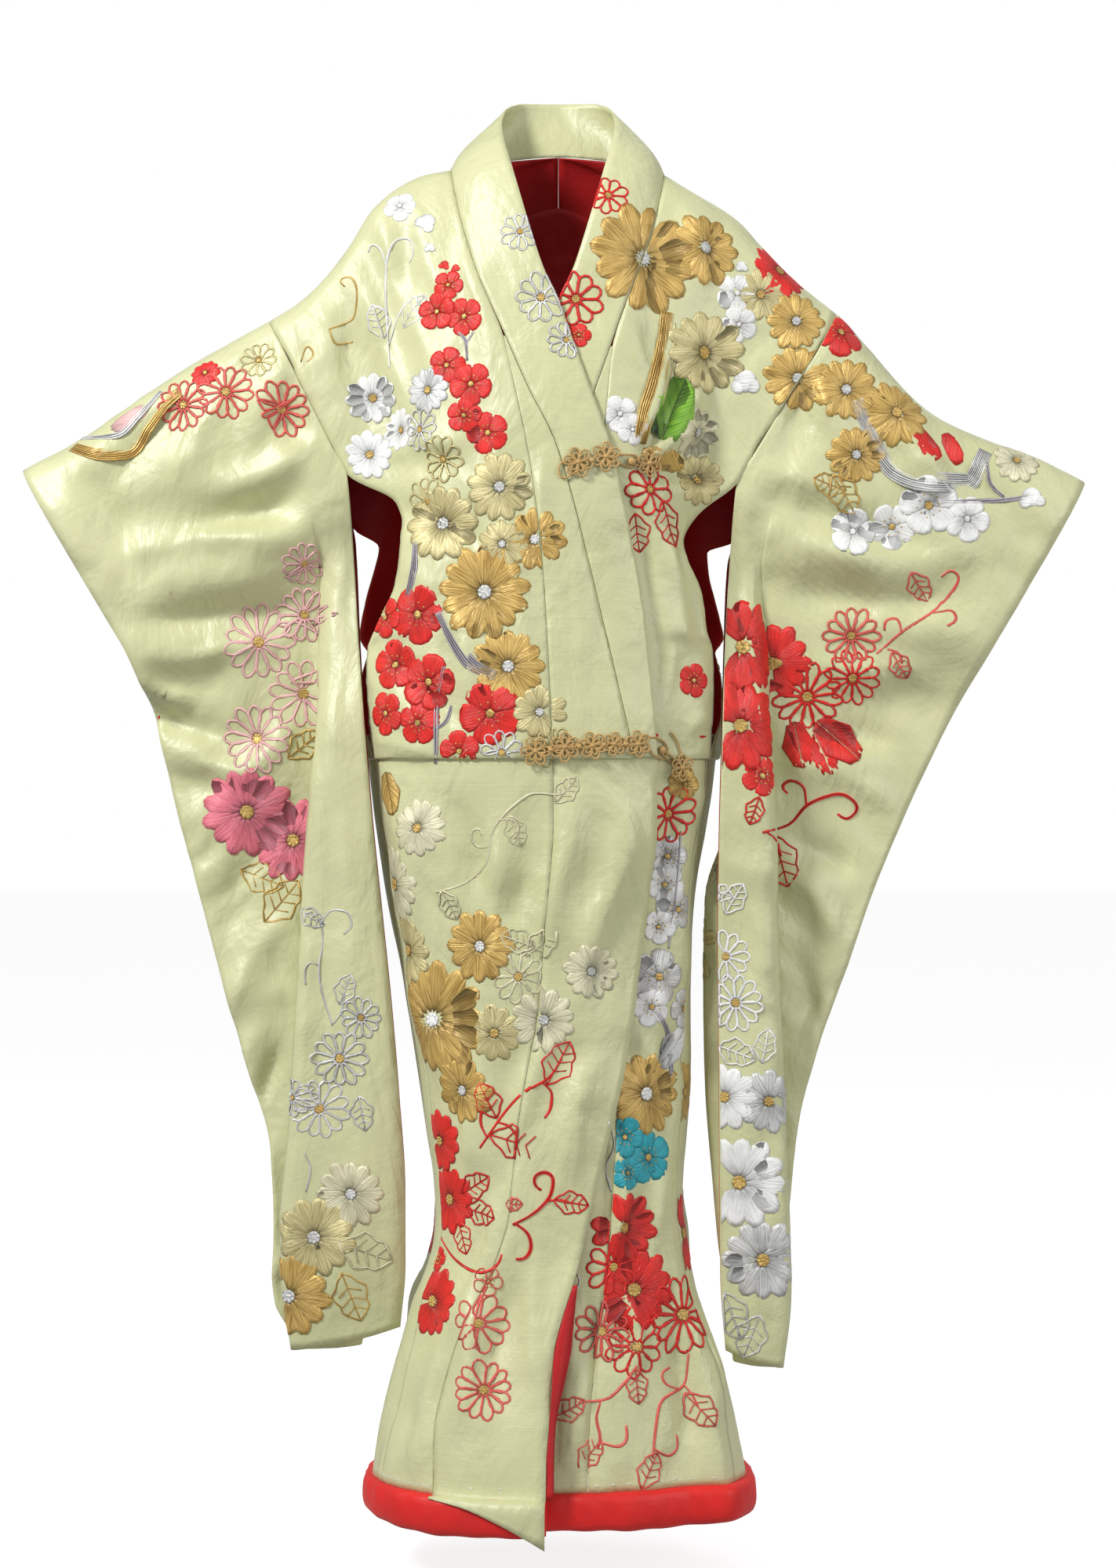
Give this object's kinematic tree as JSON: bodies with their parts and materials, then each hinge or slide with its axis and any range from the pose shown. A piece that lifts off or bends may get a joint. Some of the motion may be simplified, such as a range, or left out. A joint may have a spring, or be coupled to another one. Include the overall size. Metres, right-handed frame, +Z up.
{
  "type": "kimono robe",
  "caption": "Long-sleeved kimono robe, wrapped right over left, with a sewn waist tuck, two braided frogs and a padded hem.",
  "frame": {"origin": "middle of the shoulder line at the base of the neck, where the wearer's shoulders carry the robe", "axes": "+Z up, +Y towards the wearer's back, +X towards the wearer's left"},
  "size_m": [1.1626, 0.318, 1.5493],
  "materials": {
    "body_right": "pale green silk satin with raised embroidery",
    "body_left": "pale green silk satin with raised embroidery",
    "overlap_right": "pale green silk satin with raised embroidery",
    "overlap_left": "pale green silk satin with raised embroidery",
    "collar": "pale green silk satin with raised embroidery",
    "sleeve_right": "pale green silk satin with raised embroidery",
    "sleeve_left": "pale green silk satin with raised embroidery",
    "front_facing": "plain silk, soft sheen",
    "hem_roll": "plain silk over wadding, soft sheen",
    "body_lining": "plain silk, soft sheen",
    "sleeve_lining_right": "plain silk, soft sheen",
    "sleeve_lining_left": "plain silk, soft sheen",
    "frog_upper_loop": "twisted rayon cord",
    "frog_upper_knot": "twisted rayon cord",
    "frog_lower_loop": "twisted rayon cord",
    "frog_lower_knot": "twisted rayon cord"
  },
  "bodies": {
    "root": {"body_right": "body_right", "body_left": "body_left", "overlap_right": "overlap_right", "overlap_left": "overlap_left", "collar": "collar", "sleeve_right": "sleeve_right", "sleeve_left": "sleeve_left", "front_facing": "front_facing", "hem_roll": "hem_roll", "body_lining": "body_lining", "sleeve_lining_right": "sleeve_lining_right", "sleeve_lining_left": "sleeve_lining_left", "frog_upper_loop": "frog_upper_loop", "frog_upper_knot": "frog_upper_knot", "frog_lower_loop": "frog_lower_loop", "frog_lower_knot": "frog_lower_knot"}
  },
  "joints": []
}
